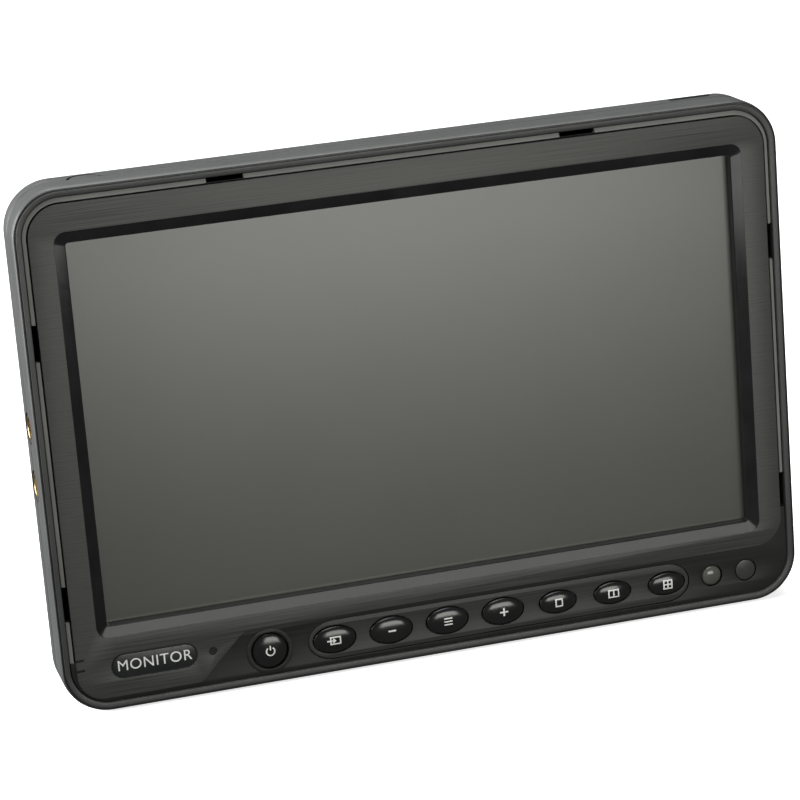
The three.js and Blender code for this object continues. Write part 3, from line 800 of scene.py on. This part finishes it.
def key_cap(key, marks):
    x, z, wide, tall = node_spot(key + "_button")
    flange = 1.2
    half_w, half_h = wide - flange, tall - flange
    sections = []
    for share in (0.06, 0.16, 0.28, 0.4, 0.52, 0.64, 0.75, 0.84, 0.91, 0.96, 0.99, 1.0):
        sections.append((oval(x, z, half_w * share, half_h * share, 64), crown_depth(share)))
    sections.append((oval(x, z, half_w, half_h, 64), 1.6))
    sections.append((oval(x, z, half_w, half_h, 64), FRAME_BACK + 0.3))
    sections.append((oval(x, z, wide, tall, 64), FRAME_BACK + 0.35))
    sections.append((oval(x, z, wide, tall, 64), FRAME_BACK + 1.0))
    sections.append((oval(x, z, 1.5, 1.5, 64), FRAME_BACK + 1.05))
    back = (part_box(key + "_button")[1].y - RIM_Y) / MM
    sections.append((oval(x, z, 1.5, 1.5, 64), back))
    cap = loft(key + "_cap", sections)
    paint(cap, KEY_CAP)
    body = key + "_key"
    prints = []
    for i, (outline, hole) in enumerate(marks):
        moved = [(x + a, z + b) for a, b in outline]
        moved_hole = [[(x + a, z + b) for a, b in hole]] if hole else []
        mark = plate(f"{key}_mark_{i}", moved, moved_hole, -0.01, 0.01)
        grid_cut(mark)
        drape(mark, x, z, half_w, half_h, 0.015)
        prints.append(paint(mark, LEGEND))
    legend = merge(key + "_legend", prints)
    settle(cap, body, "key_plastic", key + "_button", angle=40)
    settle(legend, body, "key_plastic")


def grid_cut(target):
    """Adds points to long faces so that a mark can follow a curved crown."""
    work = bmesh.new()
    work.from_mesh(target.data)
    bmesh.ops.triangulate(work, faces=work.faces)
    long_edges = [edge for edge in work.edges if edge.calc_length() > 0.5 * MM]
    bmesh.ops.subdivide_edges(work, edges=long_edges, cuts=2, use_grid_fill=True)
    work.to_mesh(target.data)
    work.free()


# ---------- badge ----------
def badge():
    x, z, half_w, half_h = node_spot("badge_insert")
    body = loft("badge_body", [
        (pill(x, z, half_w - 0.25, half_h - 0.25), 0.3),
        (pill(x, z, half_w - 0.07, half_h - 0.07), 0.36),
        (pill(x, z, half_w, half_h), 0.5),
        (pill(x, z, half_w, half_h), 0.8),
    ])
    paint(body, BADGE)
    settle(body, "housing", "badge_plastic", "badge_insert")
    data = bpy.data.curves.new("badge_word", "FONT")
    data.body = "MONITOR"
    data.align_x = "CENTER"
    data.align_y = "CENTER"
    data.size = 4.6 * MM
    data.space_character = 1.08
    data.extrude = 0.03 * MM
    word = new_object("badge_word_curve", data)
    bpy.context.view_layer.update()
    evaluated = word.evaluated_get(bpy.context.evaluated_depsgraph_get())
    mesh = bpy.data.meshes.new_from_object(evaluated)
    bpy.data.objects.remove(word)
    mesh.transform(Matrix.Translation(place(x, 0.28, z)) @ Matrix.Rotation(math.pi / 2, 4, "X"))
    lettering = new_object("badge_word", mesh)
    paint(lettering, LEGEND)
    settle(lettering, "housing", "badge_plastic")


# ---------- windows ----------
def ir_dome():
    x, z, _, _ = node_spot("ir_window")
    centre = Vector((x * MM, RIM_Y, MID_Z + z * MM))
    profile = [
        (0, -0.3), (0.8, -0.26), (1.5, -0.1), (2.1, 0.12), (2.6, 0.42), (2.95, 0.75),
        (3.12, 1.1), (3.15, 1.5), (3.15, 4.1), (4.3, 4.1), (4.3, 4.85), (0, 4.85),
    ]
    dome = lathe("ir_dome", centre, (0, 1, 0), profile, 64)
    paint(dome, SMOKE)
    settle(dome, "housing", "smoked_window", "ir_window")


def sensor_pane():
    x, z, _, _ = node_spot("sensor_window")
    centre = Vector((x * MM, RIM_Y, MID_Z + z * MM))
    profile = [
        (0, 0.75), (2.95, 0.75), (3.12, 0.8), (3.2, 0.95),
        (3.2, 4.1), (4.3, 4.1), (4.3, 4.85), (0, 4.85),
    ]
    pane = lathe("sensor_pane", centre, (0, 1, 0), profile, 64)
    paint(pane, SENSOR)
    settle(pane, "housing", "smoked_window", "sensor_window")


def status_lens():
    x, z, _, _ = node_spot("status_led")
    centre = Vector((x * MM, RIM_Y, MID_Z + z * MM))
    profile = [(0, 0.72), (0.5, 0.76), (0.8, 0.88), (0.95, 1.1), (0.95, 6.0), (0, 6.0)]
    lens = lathe("status_lens", centre, (0, 1, 0), profile, 32)
    paint(lens, LED_LENS)
    settle(lens, "housing", "led_lens", "status_led")


# ---------- jacks ----------
def jacks():
    for name, material in (("upper", RED), ("lower", CREAM)):
        low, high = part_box(name + "_jack_barrel")
        centre = Vector((low.x, (low.y + high.y) / 2, (low.z + high.z) / 2))
        barrel = lathe(name + "_barrel", centre, (1, 0, 0), [
            (3.3, 0.1), (3.4, 0.0), (4.0, 0.0), (4.1, 0.08),
            (4.15, 0.25), (4.15, 4.7), (3.3, 4.7), (3.3, 0.1),
        ], 64)
        paint(barrel, BRASS)
        settle(barrel, "housing", "jack_brass", name + "_jack_barrel")
        core = lathe(name + "_core", centre, (1, 0, 0), [
            (1.6, 1.0), (1.75, 0.85), (2.85, 0.85), (3.0, 1.0), (3.0, 4.7), (1.6, 4.7), (1.6, 1.0),
        ], 48)
        paint(core, material)
        look = "jack_red" if name == "upper" else "connector_plastic"
        settle(core, "housing", look, name + "_jack_core")


# ---------- rear cover ----------
def cover_profile():
    """Outside of the rear shell from the parting line to the back: (inset, depth) pairs."""
    r = BACK - SIDE_STRAIGHT
    outside = [
        (0.4, COVER_FRONT), (0.12, COVER_FRONT + 0.2), (0, COVER_FRONT + 0.5), (0, SIDE_STRAIGHT),
    ]
    for i in range(1, 13):
        turn = math.radians(90 * i / 12)
        outside.append((r * (1 - math.cos(turn)), SIDE_STRAIGHT + r * math.sin(turn)))
    return outside


def rear_cover():
    outside = [(case_outline(inset, 24), depth) for inset, depth in cover_profile()]
    sections = outside + [(case_outline(8.5, 24), BACK)]
    inner = [
        (case_outline(8.5, 24), BACK - 2),
        (case_outline(2, 24), SIDE_STRAIGHT),
        (case_outline(2, 24), COVER_FRONT),
    ]
    shell = loft("cover_shell", sections + inner, capped=False)
    inlet = round_hole("harness_socket", 7.3)
    panel = plate("cover_panel", case_outline(8.4), [inlet], BACK - 2, BACK)
    plateau_side = [
        (round_rect(-86, 86, -49, 54, 10), BACK - 0.2),
        (round_rect(-85.7, 85.7, -48.7, 53.7, 9.7), BACK + 0.15),
        (round_rect(-84.4, 84.4, -47.4, 52.4, 8.4), PLATEAU - 0.3),
        (round_rect(-84, 84, -47, 52, 8), PLATEAU),
        (round_rect(-60, 60, -40, 45, 5), PLATEAU),
    ]
    raised = loft("cover_plateau", plateau_side)
    carve(raised, vent_cutters())
    carve(panel, screw_wells())
    carve(shell, jack_cutters() + [notch_cutter(), tongue_cutter()] + screw_wells())
    for piece in (shell, panel, raised):
        paint(piece, CASE)
    # Faces at the parting line are painted near black: painted shade of the gap between the shells.
    shell.data.materials.append(EPOXY_AND_SHADE)
    for face in shell.data.polygons:
        depth = (face.center.y - RIM_Y) / MM
        face.material_index = 1 if depth < COVER_FRONT + 0.45 else 0
    skin = merge("rear_cover_skin", [shell, panel, raised])
    settle(skin, "housing", "case_plastic", "rear_cover")


def notch_cutter():
    """Shallow rectangular mark in the top side, near its right end."""
    return block("notch", 86.9, 100.2, HALF_H - 0.5, HALF_H + 1, COVER_FRONT + 0.6, SIDE_STRAIGHT)


def tongue_cutter():
    return plate_on_top("tongue_notch", -91.7, 5.1, PARTING, -1, 2.8)


def vent_cutters():
    cutters = []
    for side in (-1, 1):
        for i in range(7):
            x, z = side * 52, 26 + i * 3.6
            slot = pill(x, z, 18, 0.8, 6)
            cutters.append(loft("vent", [(slot, BACK - 3), (slot, PLATEAU + 1)]))
    x, z, half_w, _ = node_spot("speaker")
    for i in range(6):
        level = z - 7.5 + i * 3
        half = math.sqrt(half_w ** 2 - (level - z) ** 2) - 1.5
        slot = pill(x, level, half, 0.7, 6)
        cutters.append(loft("grille", [(slot, BACK - 3), (slot, PLATEAU + 1)]))
    return cutters


def screw_wells():
    wells = []
    for i in range(1, 7):
        x, z, _, _ = node_spot(f"case_screw_{i}")
        mouth = oval(x, z, 2.6, 2.6, 32)
        wells.append(loft("well", [(mouth, SIDE_STRAIGHT), (mouth, BACK + 1)]))
    return wells


# ---------- screws ----------
def pan_screw(node):
    """Pan-head screw with a cross recess, its head towards the back."""
    x, z, head, _ = node_spot(node)
    low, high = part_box(node)
    tip = (low.y - RIM_Y) / MM
    back = (high.y - RIM_Y) / MM
    seat = back - 1.5
    shank = 1.4
    centre = Vector((x * MM, RIM_Y, MID_Z + z * MM))
    profile = [
        (0, tip), (shank * 0.6, tip), (shank, tip + 0.8), (shank, seat),
        (head - 0.08, seat), (head, seat + 0.08), (head, seat + 0.6), (head * 0.93, seat + 0.95),
        (head * 0.78, seat + 1.22), (head * 0.5, seat + 1.42), (0, back),
    ]
    screw = lathe(node + "_turned", centre, (0, 1, 0), profile, 32)
    reach, half = head * 0.5, 0.24
    carve(screw, [
        block("recess", x - reach, x + reach, z - half, z + half, back - 0.9, back + 1),
        block("recess", x - half, x + half, z - reach, z + reach, back - 0.9, back + 1),
    ])
    paint(screw, SCREW)
    settle(screw, "housing", "screw_steel", node)


# ---------- stage and light ----------
def area_light(name, spot, target, size, power, tall=None, color=(1, 1, 1)):
    data = bpy.data.lights.new(name, "AREA")
    data.shape = "RECTANGLE"
    data.size = size
    data.size_y = tall or size
    data.energy = power
    data.color = color
    light = bpy.data.objects.new(name, data)
    bpy.context.scene.collection.objects.link(light)
    light.visible_camera = False
    light.location = spot
    aim = Vector(target) - Vector(spot)
    light.rotation_euler = aim.to_track_quat("-Z", "Y").to_euler()
    return light


def stage():
    reach, level = 40, -0.0003
    corners = [
        (-reach, -reach, level), (reach, -reach, level),
        (reach, reach, level), (-reach, reach, level),
    ]
    floor = mesh_from("floor", corners, [(0, 1, 2, 3)])
    shader = Shader("floor_paper", Roughness=0.9, Specular_IOR_Level=0.1, Emission_Strength=0.7)
    shader.set(Emission_Color=(1, 1, 1, 1))
    shader.tint(shader.noise(3, 2), (0.86, 0.86, 0.86), (0.88, 0.88, 0.88))
    paint(floor, shader.material)
    floor.visible_glossy = False
    floor.visible_diffuse = False
    world = bpy.data.worlds.new("studio")
    bpy.context.scene.world = world
    world.use_nodes = True
    background = world.node_tree.nodes["Background"]
    background.inputs["Color"].default_value = (1, 1, 1, 1)
    background.inputs["Strength"].default_value = 0.14
    bpy.context.scene.view_settings.view_transform = "Standard"
    middle = (0, 0, MID_Z)
    area_light("overhead", (-0.1, 0.1, 1.1), middle, 1.3, 20)
    area_light("left_wall", (-1.0, 0.15, 0.35), middle, 0.8, 27)
    card_color = (1.0, 1.0, 0.95)
    area_light("front_card", (0.12, -0.515, 0.101), (0.12, 0, 0.101), 0.36, 1.4, 0.195, card_color)


front_frame()
face_plate()
for key_name, key_symbols in key_marks().items():
    key_cap(key_name, key_symbols)
badge()
ir_dome()
sensor_pane()
status_lens()
jacks()
rear_cover()
for node_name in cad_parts:
    if "_screw_" in node_name:
        pan_screw(node_name)

CARRIED = {
    "lcd_glass": SCREEN,
    "panel_frame": EPOXY_AND_SHADE,
    "panel_tray": STEEL,
    "light_guide": ACRYLIC,
    "key_board": BOARD,
    "main_board": BOARD,
    "jack_board": BOARD,
    "video_processor": EPOXY_AND_SHADE,
    "power_inductor": EPOXY_AND_SHADE,
    "jack_block": EPOXY_AND_SHADE,
    "socket_core": EPOXY_AND_SHADE,
    "panel_connector": CREAM,
    "panel_ribbon": CREAM,
    "filter_capacitor_1": STEEL,
    "filter_capacitor_2": STEEL,
    "speaker": EPOXY_AND_SHADE,
    "ir_receiver": EPOXY_AND_SHADE,
    "light_sensor": EPOXY_AND_SHADE,
    "stand_rail": RAIL,
    "harness_socket": NICKEL,
}
for node_name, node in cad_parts.items():
    finish = CARRIED.get(node_name)
    if finish is None and node_name.endswith("_switch"):
        finish = EPOXY_AND_SHADE
    if finish is not None:
        paint(node, finish)
    if node_name in ("stand_rail", "harness_socket"):
        edge = node.modifiers.new("edge", "BEVEL")
        edge.width = 0.25 * MM
        edge.segments = 2
        edge.limit_method = "ANGLE"
        edge.angle_limit = math.radians(40)

stage()
